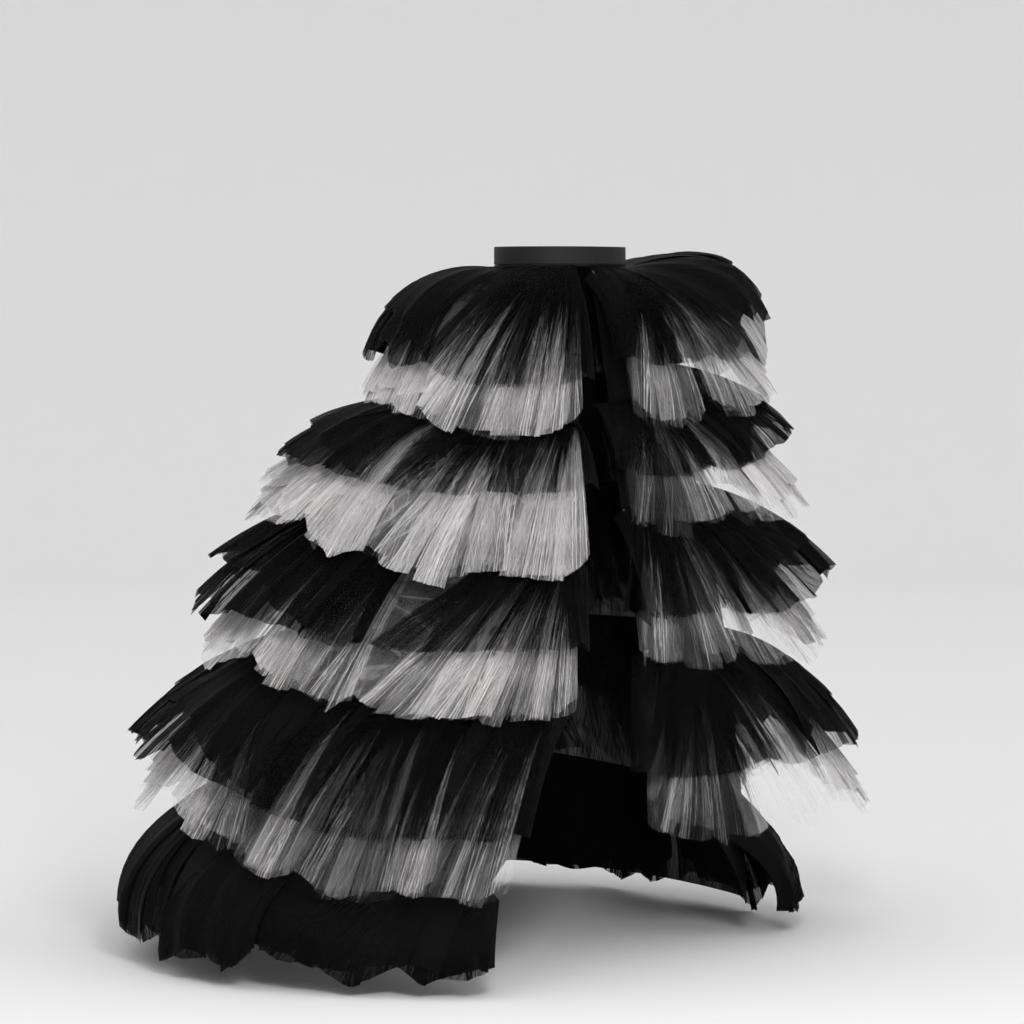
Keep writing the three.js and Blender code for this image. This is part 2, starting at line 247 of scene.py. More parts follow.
def nodesOf(name):
    material = bpy.data.materials.new(name)
    material.use_nodes = True
    tree = material.node_tree
    return material, tree.nodes, tree.links, tree.nodes["Principled BSDF"]


def addMath(tree, operation, first, second=None, clamp=False):
    node = tree.nodes.new("ShaderNodeMath")
    node.operation = operation
    node.use_clamp = clamp
    for socket, value in zip(node.inputs, (first, second)):
        if isinstance(value, (int, float)):
            socket.default_value = value
        elif value is not None:
            tree.links.new(value, socket)
    return node.outputs[0]


hairCreases = {
    "slants": (-0.17, 0.21),  # two sets, which cross as they run down the cloth
    "downScale": 9.0,
    "sharpness": 16.0,
    "restPlies": 0.75,  # between the creases
}


# Tulle: how much of the light its plies stop. It has six-sided holes, hair creases and uneven
# patches.
def tulleGroup():
    group = bpy.data.node_groups.new("tulle", "ShaderNodeTree")
    inputs = {"Plies": 1.0, "Cover": 0.15, "Hole Size": 0.0016, "Hole Contrast": 0.45,
              "Crease Spacing": 0.01, "Crease Plies": 1.5, "Patch Size": 0.12}
    for key, value in inputs.items():
        group.interface.new_socket(key, in_out="INPUT", socket_type="NodeSocketFloat").default_value = value
    for key in ("Alpha", "Tone"):
        group.interface.new_socket(key, in_out="OUTPUT", socket_type="NodeSocketFloat")
    given = group.nodes.new("NodeGroupInput").outputs
    result = group.nodes.new("NodeGroupOutput").inputs
    place = group.nodes.new("ShaderNodeTexCoord")
    axes = group.nodes.new("ShaderNodeSeparateXYZ")
    group.links.new(place.outputs["UV"], axes.inputs[0])
    turns = addMath(group, "DIVIDE", 2 * math.pi, given["Hole Size"])
    across = addMath(group, "MULTIPLY", axes.outputs["X"], turns)
    down = addMath(group, "MULTIPLY", axes.outputs["Y"], turns)
    # Three waves a third of a turn apart peak in the middle of each hole.
    half, tall = addMath(group, "MULTIPLY", across, 0.5), addMath(group, "MULTIPLY", down, math.sqrt(3) / 2)
    waves = addMath(group, "COSINE", across)
    for operation in ("ADD", "SUBTRACT"):
        waves = addMath(group, "ADD", waves, addMath(group, "COSINE", addMath(group, operation, half, tall)))
    thread = addMath(group, "MULTIPLY", waves, -1 / 3)
    uneven = addMath(group, "ADD", addMath(group, "MULTIPLY", thread, given["Hole Contrast"]), 1.0)

    creased = hairCreases["restPlies"]
    for slant in hairCreases["slants"]:
        leaning = addMath(group, "MULTIPLY", axes.outputs["Y"], slant)
        aslant = addMath(group, "ADD", axes.outputs["X"], leaning)
        stretched = group.nodes.new("ShaderNodeCombineXYZ")
        group.links.new(addMath(group, "DIVIDE", aslant, given["Crease Spacing"]), stretched.inputs["X"])
        along = addMath(group, "MULTIPLY", axes.outputs["Y"], hairCreases["downScale"])
        group.links.new(along, stretched.inputs["Y"])
        crease = group.nodes.new("ShaderNodeTexNoise")
        crease.noise_dimensions = "2D"
        crease.inputs["Scale"].default_value = 1
        crease.inputs["Detail"].default_value = 0
        group.links.new(stretched.outputs["Vector"], crease.inputs["Vector"])
        # A line lies wherever the noise crosses its middle.
        off = addMath(group, "ABSOLUTE", addMath(group, "SUBTRACT", crease.outputs["Fac"], 0.5))
        faded = addMath(group, "MULTIPLY", off, hairCreases["sharpness"])
        line = addMath(group, "SUBTRACT", 1.0, faded, True)
        creased = addMath(group, "ADD", addMath(group, "MULTIPLY", line, given["Crease Plies"]), creased)
    stopped = addMath(group, "MULTIPLY", addMath(group, "MULTIPLY", given["Plies"], uneven), creased)
    clear = addMath(group, "POWER", addMath(group, "SUBTRACT", 1.0, given["Cover"]), stopped)
    group.links.new(addMath(group, "SUBTRACT", 1.0, clear, True), result["Alpha"])

    patches = group.nodes.new("ShaderNodeTexNoise")
    patches.inputs["Detail"].default_value = 1
    group.links.new(place.outputs["Object"], patches.inputs["Vector"])
    group.links.new(addMath(group, "DIVIDE", 1.0, given["Patch Size"]), patches.inputs["Scale"])
    group.links.new(patches.outputs["Fac"], result["Tone"])
    return group


tulle = tulleGroup()
nets = {
    "white": {
        "light": (0.73, 0.705, 0.70), "dark": (0.61, 0.60, 0.61), "cover": 0.15, "rough": 0.62,
        "specular": 0.15, "sheen": 0.1, "sheenRough": 0.5, "sheenTint": (1.0, 0.98, 0.98),
        "hole": 0.0016, "patch": 0.15, "hair": 1.5,
    },
    "black": {
        "light": (0.0045, 0.0045, 0.0045), "dark": (0.0025, 0.0025, 0.0026), "cover": 0.13, "rough": 0.6,
        "specular": 0.03, "sheen": 0.003, "sheenRough": 0.5, "sheenTint": (0.6, 0.6, 0.6),
        "hole": 0.0016, "patch": 0.2, "hair": 0.9,
    },
}
nets["foundation"] = {**nets["black"], "cover": 0.995, "hole": 0.0011, "hair": 0.3}


def netMaterial(name, net):
    material, nodes, links, shader = nodesOf(name)
    plies = nodes.new("ShaderNodeAttribute")
    plies.attribute_name = "netLayers"
    cloth = nodes.new("ShaderNodeGroup")
    cloth.node_tree = tulle
    links.new(plies.outputs["Fac"], cloth.inputs["Plies"])
    cloth.inputs["Cover"].default_value = net["cover"]
    cloth.inputs["Hole Size"].default_value = net["hole"]
    cloth.inputs["Crease Plies"].default_value = net["hair"]
    cloth.inputs["Patch Size"].default_value = net["patch"]
    links.new(cloth.outputs["Alpha"], shader.inputs["Alpha"])
    color = nodes.new("ShaderNodeMix")
    color.data_type = "RGBA"
    color.inputs["A"].default_value = (*net["dark"], 1)
    color.inputs["B"].default_value = (*net["light"], 1)
    links.new(cloth.outputs["Tone"], color.inputs["Factor"])
    links.new(color.outputs["Result"], shader.inputs["Base Color"])
    shader.inputs["Roughness"].default_value = net["rough"]
    shader.inputs["Specular IOR Level"].default_value = net["specular"]
    shader.inputs["Sheen Weight"].default_value = net["sheen"]
    shader.inputs["Sheen Roughness"].default_value = net["sheenRough"]
    shader.inputs["Sheen Tint"].default_value = (*net["sheenTint"], 1)
    return material


materials = {name: netMaterial(name + "Net", net) for name, net in nets.items()}

# Every tier's net is gathered into fans, which its frills share. Widths are in millimetres.
fanStyle = {
    "shortest": 60,
    "pointApart": 46,  # the points of the hems at the sides
    "joined": 0.55,  # how often a fan spans two of the deep folds
    "gather": (0.42, 0.72),  # how much of a fan's spread its seam keeps
    "endsOff": 7,
    "sway": 14, "puff": (3, 10), "tilt": 5, "twist": 7, "uneven": 6, "arc": (8, 20), "arcPower": 1.7,
    "forwardsFrom": (60, 100), "sideTwist": 20, "sideTwistShare": (0.3, 1),
    "sameLean": 0.8,  # how often a pleat leans the way its fan does
    "faceShares": (0.4, 1.6), "mostOver": 0.45, "mostUnder": 0.5, "leastLap": 1.5,
    "tuckFace": 28, "tuckMargin": 0.1, "tuckUp": (1.0, 1.6), "tuckShort": 1,
}
# Places where one ply's hem ends short or long of the smooth form, or stands out from it.
kicks = [
    {"tier": 3, "colour": "black", "ply": 1, "angle": -114, "half": 11, "longer": 30, "out": 36},
    {"tier": 3, "colour": "black", "ply": 1, "angle": -92, "half": 16, "longer": -20, "out": 0},
    {"tier": 2, "colour": "white", "ply": 1, "angle": -94, "half": 12, "longer": -24, "out": -6},
    {"tier": 2, "colour": "white", "ply": 1, "angle": -113, "half": 9, "longer": 8, "out": 14},
    {"tier": 4, "colour": "black", "ply": 1, "angle": -100, "half": 9, "longer": -22, "out": -4},
    {"tier": 1, "colour": "white", "ply": 1, "angle": 55, "half": 16, "longer": 16, "out": 12},
    {"tier": 1, "colour": "black", "ply": 1, "angle": 80, "half": 14, "longer": -26, "out": 0},
    {"tier": 5, "colour": "black", "ply": 0, "angle": -59, "half": 11, "longer": -16, "out": 0},
    {"tier": 5, "colour": "black", "ply": 1, "angle": -59, "half": 11, "longer": -14, "out": 3},
    {"tier": 5, "colour": "black", "ply": 0, "angle": -42, "half": 5, "longer": -12, "out": 0},
    {"tier": 5, "colour": "black", "ply": 1, "angle": -42, "half": 5, "longer": -10, "out": -4},
]
frills = {
    "white": {
        "inFan": 1.0, "betweenFans": 0.6, "overlap": (8, 24), "stepUp": 5, "turnIn": -6,
        "pitch": (24, 76), "over": 11, "under": 15, "lift": (2, 8), "cross": 9, "tuckCross": 14,
        "uneven": 2.5, "arc": 1.0, "step": 6, "notch": (0, 14), "ragged": 0.5, "corner": 12, "sideRagged": 9,
        "tucks": 1.9, "tuckRun": 3, "tuckWide": (0.8, 2.0), "tuckApart": (2.5, 9),
        "tuckDense": 5.0, "leftTuckDense": 8.0, "sideTuckDense": 2.0,
        "denseSpread": 0.85, "gatherDense": 0.3,
        # The tier and left densities are partly the net's own sheerness and partly painted shade: the white
        # is sheerer, so darker over the black beneath, on the lower tiers and the wearer's left, away from
        # the key light.
        "tierDense": (0.48, 0.5, 0.26, 0.13), "leftDense": (0.09, 0.1, 0.13, 0.08),
        "sideDense": (2.2, 2.2, 1.4, 0.9),
        "gatherPower": (1.0, 1.0, 1.0, 1.0, 1.0), "sideFrom": (65, 100),
        "layers": (
            {"ply": 0, "out": -8, "longer": 1, "sideShort": 0, "dense": 0.8},
            {"ply": 1, "out": 0, "longer": 0, "sideShort": 0.08, "dense": 1.2},
        ),
    },
    "black": {
        "inFan": 0.65, "betweenFans": 9.0, "overlap": (6, 20), "stepUp": 3, "turnIn": 20,
        "pitch": (24, 80), "over": 11, "under": 15, "lift": (2, 5), "cross": 9, "tuckCross": 9,
        "uneven": 1, "arc": 0.35, "step": 1.5, "notch": (0, 4), "ragged": 0.25, "corner": 6, "sideRagged": 13,
        "tucks": 1.9, "tuckRun": 3, "tuckWide": (0.8, 1.9), "tuckApart": (2.5, 8),
        "tuckDense": 2.6, "leftTuckDense": 2.6, "sideTuckDense": 1.5,
        "denseSpread": 0.35, "gatherDense": 0.08,
        # The tier and left densities are partly the net's own sheerness and partly painted shade: the black
        # is mostly denser, so darker, on the lower tiers and the wearer's left, away from the key light.
        "tierDense": (0.45, 0.53, 1.5, 0.8, 16.0), "leftDense": (1.1, 1.1, 1.2, 1.15, 16.0),
        "sideDense": (8.0, 8.0, 10.0, 10.0, 16.0),
        "gatherPower": (1.8, 0.85, 1.2, 1.5, 1.0), "sideFrom": (57, 95),
        "layers": (
            {"ply": 0, "out": 1, "longer": -1, "sideShort": 0, "dense": 1.0},
            {"ply": 1, "out": 7, "longer": 0, "sideShort": 0.25, "dense": 1.0},
        ),
    },
}
fallRows = np.array([0, 0.03, 0.07, 0.12, 0.18, 0.25, 0.33, 0.42, 0.51, 0.6, 0.69, 0.78, 0.86, 0.93, 1.0])
deepFolds = {
    "pitch": 84, "depth": 13, "fullDepthAt": 190, "measuredAt": 13,
    "sway": 0.16, "swayTurns": (2.4, 1.7), "deep": 0.8, "deeper": 0.2, "deepTurn": 1.9,
}
netGrid = {"columnWidth": 13, "outlinePoints": 400, "besideU": 0.004, "besideV": 0.02}
cutEdges = {
    "leftSideFrom": (36, 62),
    "cornerWidth": 20, "slit": 2,
    "turnedIn": 1.3, "turnedPlies": 4,
    "liftPower": 0.8,
}


# Where a tier's deep folds lie along a length of it, and how deep each trough is.
def foldsOf(number, hemFrom, hemTo):
    shares = np.linspace(0, 1, deepFolds["measuredAt"])
    hem = onSection(tiers[number - 1], lerp(hemFrom, hemTo, shares), 0)
    length = np.linalg.norm(np.diff(hem, axis=0), axis=1).sum()
    columns = 2 * max(2, round(length / deepFolds["pitch"]))
    c = np.arange(columns + 1)
    odd = c % 2 == 1
    perColumn, perTier = deepFolds["swayTurns"]
    sway = deepFolds["sway"] * np.sin(perColumn * c + perTier * number)
    at = np.clip((c + np.where(odd, sway, 0)) / columns, 0, 1)
    deep = deepFolds["deep"] + deepFolds["deeper"] * np.sin(deepFolds["deepTurn"] * c + number)
    return at, np.where(odd, deep, 0), length


# The fans of one length of a tier, as shares of its length. A fan ends where a fold is deepest.
def fansOf(number, place, k):
    rng = np.random.default_rng(1000 * number + k)
    (_, hemFrom), (_, hemTo) = frillLengths(number)[place]
    foldsAt, _, length = foldsOf(number, hemFrom, hemTo)
    ends = [0.0]
    for trough in foldsAt[1::2][:-1]:
        if (trough - ends[-1]) * length > fanStyle["shortest"] and rng.random() > fanStyle["joined"]:
            ends.append(trough + rng.normal(0, fanStyle["endsOff"]) / length)
    if (1 - ends[-1]) * length < fanStyle["shortest"] and len(ends) > 1:
        ends.pop()
    fans = []
    for start, end in zip(ends, [*ends[1:], 1.0]):
        angle = lerp(hemFrom, hemTo, (start + end) / 2)
        gather = rng.uniform(*fanStyle["gather"])
        # At the sides each fan turns to face forwards.
        forwards = float(smoothstep(abs(angle), *fanStyle["forwardsFrom"]) * np.sign(angle))
        gathered = (start + end) / 2 + rng.normal(0, fanStyle["sway"]) / length
        if start <= 0:
            gathered = start + (end - start) / 2 * gather
        if end >= 1:
            gathered = end - (end - start) / 2 * gather
        tilt, puff = rng.normal(0, fanStyle["tilt"]), rng.uniform(*fanStyle["puff"])
        twist = rng.normal(0, fanStyle["twist"])
        twist += forwards * rng.uniform(*fanStyle["sideTwistShare"]) * fanStyle["sideTwist"]
        fans.append({
            "start": start, "end": end, "gather": gather, "gathered": gathered,
            "tilt": tilt, "puff": puff, "twist": twist,
            "longer": rng.normal(0, fanStyle["uneven"]), "arc": rng.uniform(*fanStyle["arc"]),
            "lean": rng.choice([-1, 1]),
        })
    return fans


# The creases of one fan in the order they come along its cloth. Each row is a crease's place at
# the hem, its place at the seam, its lift, extra length, the plies of the cloth after it and
# whether that is a tuck.
def fanCreases(fan, length, seamShare, style, rng):
    start, end, gathered = (fan[key] * length for key in ("start", "end", "gathered"))
    wide, centre = end - start, (start + end) / 2
    longer = fan["longer"] * style["arc"] + rng.normal(0, style["uneven"])
    count = max(2, round(wide / rng.uniform(*style["pitch"])))
    widths = rng.uniform(*fanStyle["faceShares"], count)
    widths *= wide / widths.sum()
    creases = []

    def crease(base, aside, up, short, plies, cross, tucked=0):
        middle = np.clip(2 * (base - start) / wide - 1, -1, 1)
        bow = longer + style["arc"] * fan["arc"] * (0.5 - abs(middle) ** fanStyle["arcPower"]) - short
        atSeam = gathered + (base - centre) * fan["gather"] + aside / seamShare + cross
        out = style["inFan"] * (fan["tilt"] + fan["twist"] * middle + fan["puff"] * (1 - middle**2)) + up
        creases.append((base + aside, atSeam, out, bow, plies, tucked))

    x = start
    for k, face in enumerate(widths):
        lean = fan["lean"] if rng.random() < fanStyle["sameLean"] else -fan["lean"]
        over = min(fanStyle["mostOver"] * face, rng.exponential(style["over"]) + fanStyle["leastLap"])
        under = min(fanStyle["mostUnder"] * face, rng.exponential(style["under"]) + fanStyle["leastLap"])
        up = rng.uniform(*style["lift"])
        if (k == count - 1 and lean > 0) or (k == 0 and lean < 0):
            over = rng.uniform(*style["overlap"])
            up += style["stepUp"]
        plies = math.exp(rng.normal(0, style["denseSpread"]))
        step, slant = rng.normal(0, style["step"], 2)
        notch = rng.uniform(*style["notch"])
        crosses = rng.normal(0, style["cross"], 3)
        tucks = []
        for _ in range(rng.poisson(style["tucks"] * face / fanStyle["tuckFace"])):
            at = rng.random()
            for _ in range(rng.integers(1, style["tuckRun"] + 1)):
                tucks.append(at)
                at += rng.uniform(*style["tuckApart"]) / face
        tucks = np.sort([at for at in tucks if at < 1])
        if lean > 0:
            crease(x, 0, 0, step + notch * 0.5, plies, crosses[0])
        else:
            crease(x, under, 0.5 * up, step + notch, plies, crosses[0])
            crease(x, -over, up, step, plies, crosses[1])
        for share in tucks:
            at = x + face * lerp(fanStyle["tuckMargin"], 1 - fanStyle["tuckMargin"], share)
            high = up * (share if lean > 0 else 1 - share)
            first, second = (high + each for each in fanStyle["tuckUp"])
            short = step + slant * share
            turned, cross = rng.uniform(*style["tuckWide"]), rng.normal(0, style["tuckCross"])
            crease(at, turned, first, short, plies, cross, 1)
            crease(at, 0, second, short + fanStyle["tuckShort"], plies, cross)
        if lean > 0:
            crease(x + face, over, up, step + slant, plies, crosses[1])
            crease(x + face, -under, 0.5 * up, step + notch, plies, crosses[2])
        else:
            crease(x + face, 0, 0, step + slant + notch * 0.5, plies, crosses[2])
        x += face
    # Between two fans the net is pulled together at the seam.
    *place, plies, _ = creases[-1]
    creases[-1] = (*place, max(1, plies) * style["betweenFans"], 0)
    return creases


def netLayer(number, colour, place, fans, layer, rng):
    style = frills[colour]
    (seamFrom, hemFrom), (seamTo, hemTo) = frillLengths(number)[place]

    def smoothAt(u, v):
        return frillPoint(number, colour, lerp(seamFrom, seamTo, u), lerp(hemFrom, hemTo, u), v)

    us = np.linspace(0, 1, netGrid["outlinePoints"])
    hem, seam = smoothAt(us, np.ones(len(us))), smoothAt(us, np.zeros(len(us)))
    along = np.concatenate([[0], np.cumsum(np.linalg.norm(np.diff(hem, axis=0), axis=1))])
    length = along[-1]
    seamShare = np.linalg.norm(np.diff(seam, axis=0), axis=1).sum() / length
    foldsAt, foldDeep, _ = foldsOf(number, hemFrom, hemTo)
    creases = []
    for fan in fans:
        creases += fanCreases(fan, length, seamShare, style, rng)
    creases = np.array(creases)
    # The front edges turn in: the black net's further, round the white's.
    turn, slit = style["turnIn"], cutEdges["slit"]
    beyond = {"right_front": (slit, turn), "left_front": (turn, slit)}.get(place, (slit, slit))
    creases[:, :2] = np.clip(creases[:, :2], -beyond[0] + 1, length + beyond[1] - 1)
    first, last = creases[0].copy(), creases[-1].copy()
    first[:2], last[:2] = -beyond[0], length + beyond[1]
    creases = np.concatenate([[first], creases, [last]])

    def asideAt(hemAt):
        angle = np.interp(hemAt, along, lerp(hemFrom, hemTo, us))
        return smoothstep(angle, *cutEdges["leftSideFrom"]) + smoothstep(-angle, *style["sideFrom"])

    # The hems are pointed at the sides, and the lowest one all round.
    points = np.arange(0, length + fanStyle["pointApart"], fanStyle["pointApart"])
    pointed = np.interp(creases[:, 0], points, rng.normal(0, style["sideRagged"], len(points)))
    creases[:, 3] += pointed * (asideAt(creases[:, 0]) if number < len(tiers) else 1)

    # A column for each crease, and more between those that are far apart.
    gaps = np.hypot(np.diff(creases[:, 0]), np.diff(creases[:, 2]))
    counts = np.maximum(1, np.ceil(gaps / netGrid["columnWidth"])).astype(int)
    where = [j + np.arange(n) / n for j, n in enumerate(counts)]
    where = np.concatenate([*where, [len(creases) - 1.0]])
    before = where[:-1].astype(int)
    order = np.arange(len(creases))
    hemAt, seamAt, lift, longer = (np.interp(where, order, row) for row in creases.T[:4])
    plies = creases[before, 4] * layer["dense"]
    longer = longer + rng.normal(0, style["ragged"], len(where)) + layer["longer"]
    nearEnd = np.minimum(np.clip(hemAt, 0, None), np.clip(length - hemAt, 0, None))
    longer -= style["corner"] * np.exp(-((nearEnd / cutEdges["cornerWidth"]) ** 2))
    short = 1 - layer["sideShort"] * asideAt(hemAt) * (number < len(tiers))
    angle = np.interp(hemAt, along, lerp(hemFrom, hemTo, us))
    for kick in kicks:
        if (kick["tier"], kick["colour"], kick["ply"]) == (number, colour, layer["ply"]):
            share = 1 - smoothstep(np.abs(angle - kick["angle"]), 0.5 * kick["half"], kick["half"])
            longer = longer + kick["longer"] * share
            lift = lift + kick["out"] * share
    # The tier and left densities partly paint shade: they darken the lower tiers and the wearer's left, away
    # from the key light.
    front, tuck = ("leftDense", "leftTuckDense") if "left" in place else ("tierDense", "tuckDense")
    front = style[front][number - 1]
    aside = asideAt(hemAt[:-1])
    plies *= lerp(front, max(front, style["sideDense"][number - 1]), aside)
    plies *= np.where(creases[before, 5] > 0, lerp(style[tuck], style["sideTuckDense"], aside), 1)
    plies *= np.where((hemAt[1:] < 0) | (hemAt[:-1] > length), cutEdges["turnedPlies"], 1)

    v = fallRows[None, :]
    x = lerp(seamAt[:, None], hemAt[:, None], v)
    u = np.interp(x, along, us) + (x - np.clip(x, 0, length)) / length
    fall = np.interp(u, us, np.linalg.norm(hem - seam, axis=1))
    far = v * short[:, None] * (1 + longer[:, None] / fall)
    points = smoothAt(u, far)
    besideU, besideV = netGrid["besideU"], netGrid["besideV"]
    alongU = smoothAt(u + besideU, far) - smoothAt(u - besideU, far)
    downV = smoothAt(u, far + besideV) - smoothAt(u, np.maximum(far - besideV, 0))
    outwards = np.cross(downV, alongU)
    outwards /= np.linalg.norm(outwards, axis=-1, keepdims=True)
    opened = np.minimum(1, far * fall / deepFolds["fullDepthAt"])
    trough = np.interp(u, foldsAt, foldDeep)
    rise = (lift[:, None] + layer["out"]) * far ** cutEdges["liftPower"]
    rise -= deepFolds["depth"] * opened * trough
    turnedIn = np.clip(np.maximum(-x, x - length), 0, None)
    points = points + outwards * (rise - cutEdges["turnedIn"] * turnedIn)[..., None]
    opening = np.clip(far, 0, 1) ** style["gatherPower"][number - 1]
    closed = 1 / (style["gatherDense"] + (1 - style["gatherDense"]) * opening)
    corners = [closed[:-1, :-1], closed[1:, :-1], closed[1:, 1:], closed[:-1, 1:]]
    netLayers = plies[:, None, None] * np.stack(corners, -1)
    cloth = np.concatenate([[0], np.cumsum(np.linalg.norm(np.diff(points[:, -1], axis=0), axis=1))])
    uv = np.stack(np.broadcast_arrays(cloth[:, None], far * fall), -1) * mm
    creased = np.broadcast_to((where % 1 == 0)[:, None], far.shape)
    part = [points.reshape(-1, 3) * mm, uv.reshape(-1, 2), creased.ravel(), netLayers.reshape(-1, 4)]
    size = (cloth[-1] * mm, float(np.mean(fall) * mm), float(np.mean(short)))
    return part, far.shape, size


def makeFrill(number, colour, place, k):
    rng = np.random.default_rng(100 * number + 10 * (colour == "black") + k)
    fans = fansOf(number, place, k)
    parts, quads, long, wide, area, start = [], [], 0, 0, 0, 0
    for layer in frills[colour]["layers"]:
        part, (columns, rows), (clothLong, fall, share) = netLayer(number, colour, place, fans, layer, rng)
        quads.append(gridQuads(columns, rows, start))
        start += columns * rows
        parts.append(part)
        long += clothLong
        wide = max(wide, fall)
        area += clothLong * fall * share
    points, uv, creased, netLayers = (np.concatenate(values) for values in zip(*parts))
    quads = np.concatenate(quads)[:, ::-1]
    node = f"tier{number}_{colour}_{place}"
    piece = makeMesh(f"net_{node}", points, quads, uv, {"netLayers": netLayers[:, ::-1].ravel()}, creased)
    piece.data.materials.append(materials[colour])
    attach(piece, "root")
    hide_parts(node)
    return len(quads) * 2


total = 0
for number in range(1, 6):
    for colour in ("white", "black"):
        if number == 5 and colour == "white":
            continue
        for k, place in enumerate(("right_front", "right_back", "left_back", "left_front")):
            total += makeFrill(number, colour, place, k)
print("frills made:", total, "triangles")

gores = {
    "columns": 60, "rows": 48,
    "ripple": 1.1, "ripplesAcross": (5, 8, 13), "rippleFrom": (15, 300), "unevenPlies": 0.25,
    "ease": 1.06,  # the cut, to the length that shows
}


def makeGore(place, fromAngle, toAngle, seed):
    rng = np.random.default_rng(seed)
    drops = np.linspace(foundationRows["drop"][0], foundationRows["drop"][-1], gores["rows"])
    section = foundationAt(drops[None, :])
    start, end = (edge(section) if callable(edge) else edge for edge in (fromAngle, toAngle))
    u = np.linspace(0, 1, gores["columns"])[:, None]
    angle = lerp(start, end, u) + 0 * drops[None, :]
    points = onSection(section, angle, drops[None, :])
    outwards = onSection(section, angle, 0 * drops[None, :])
    outwards /= np.linalg.norm(outwards, axis=-1, keepdims=True)
    across = gores["ripplesAcross"]
    waves = sum(np.sin(2 * np.pi * (n * u + rng.random())) for n in across) / len(across)
    rippled = gores["ripple"] * waves * smoothstep(drops[None, :], *gores["rippleFrom"])
    points = points + outwards * rippled[..., None]
    quads = gridQuads(*points.shape[:2])[:, ::-1]
    side = np.linalg.norm(np.diff(points, axis=0), axis=2).sum(axis=0).max()
    uv = np.stack(np.broadcast_arrays(u * side, drops[None, :]), -1) * mm
    node = f"foundation_{place}"
    dense = np.ones(points.shape[:2]) + gores["unevenPlies"] * waves
    piece = makeMesh("gore_" + place, points.reshape(-1, 3) * mm, quads, uv.reshape(-1, 2),
                     {"netLayers": dense.ravel()})
    piece.data.materials.append(materials["foundation"])
    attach(piece, "root")
    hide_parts(node)


makeGore("right_front", -90, lambda s: -s["edgeRight"], 1)
makeGore("right_back", -180, -90, 2)
makeGore("left_back", 90, 180, 3)
makeGore("left_front", lambda s: s["edgeLeft"], 90, 4)
print("foundation made")

# The waistband is a grosgrain ribbon: its ribs run up and down, and its ends lap at the front.
ribbon = {
    "height": 30, "wall": 2.0, "rib": 1.25, "ribDeep": 0.16, "roundEdge": 0.7,
    "lap": 9, "apart": 2.8, "straight": (22.5, 54), "meanRadius": 102, "ease": 1.05,
    "ink": (0.006, 0.006, 0.0065), "worn": (0.013, 0.013, 0.0135), "leastWear": 0.35,
    "weaveScale": 420, "wearScale": 55, "bump": 0.5, "bumpHeight": 0.0002,
    "rough": 0.5, "specular": 0.25, "sheen": 0.05,
    "heightsWithin": 3, "heightsCount": 5, "edgeWearFrom": 0.8, "edgeWearRise": 4,
}
waistSection = {"toRight": 114, "toLeft": 114, "frontRight": 92, "frontLeft": 92, "toBack": 95}


# Points round the band at a height: out is measured from the middle of its wall.
def onBand(turn, out, height):
    angle = np.where(turn > 180, turn - 360, turn)
    fromEnd = np.minimum(turn + ribbon["lap"], 360 + ribbon["lap"] - turn)
    aside = ribbon["apart"] * (1 - smoothstep(fromEnd, *ribbon["straight"]))
    middle = onSection(waistSection, angle, 0 * angle)
    outwards = middle / np.linalg.norm(middle, axis=-1, keepdims=True)
    place = middle + outwards * (np.where(turn < 180, -aside, aside) + out)[..., None]
    place[..., 2] = height
    return place


def ribbonMaterial():
    material, nodes, links, shader = nodesOf("blackGrosgrain")
    place = nodes.new("ShaderNodeTexCoord")
    weave = nodes.new("ShaderNodeTexWave")
    weave.bands_direction = "Y"
    weave.inputs["Scale"].default_value = ribbon["weaveScale"]
    weave.inputs["Distortion"].default_value = 0.6
    links.new(place.outputs["UV"], weave.inputs["Vector"])
    wear = nodes.new("ShaderNodeTexNoise")
    wear.inputs["Scale"].default_value = ribbon["wearScale"]
    wear.inputs["Detail"].default_value = 4
    links.new(place.outputs["Object"], wear.inputs["Vector"])
    edge = nodes.new("ShaderNodeAttribute")
    edge.attribute_name = "edgeWear"
    worn = addMath(material.node_tree, "MULTIPLY", wear.outputs["Fac"],
                   addMath(material.node_tree, "ADD", ribbon["leastWear"], edge.outputs["Fac"]), True)
    color = nodes.new("ShaderNodeMix")
    color.data_type = "RGBA"
    color.inputs["A"].default_value = (*ribbon["ink"], 1)
    color.inputs["B"].default_value = (*ribbon["worn"], 1)
    links.new(worn, color.inputs["Factor"])
    links.new(color.outputs["Result"], shader.inputs["Base Color"])
    bump = nodes.new("ShaderNodeBump")
    bump.inputs["Strength"].default_value = ribbon["bump"]
    bump.inputs["Distance"].default_value = ribbon["bumpHeight"]
    links.new(weave.outputs["Color"], bump.inputs["Height"])
    links.new(bump.outputs["Normal"], shader.inputs["Normal"])
    shader.inputs["Roughness"].default_value = ribbon["rough"]
    shader.inputs["Specular IOR Level"].default_value = ribbon["specular"]
    shader.inputs["Sheen Weight"].default_value = ribbon["sheen"]
    return material


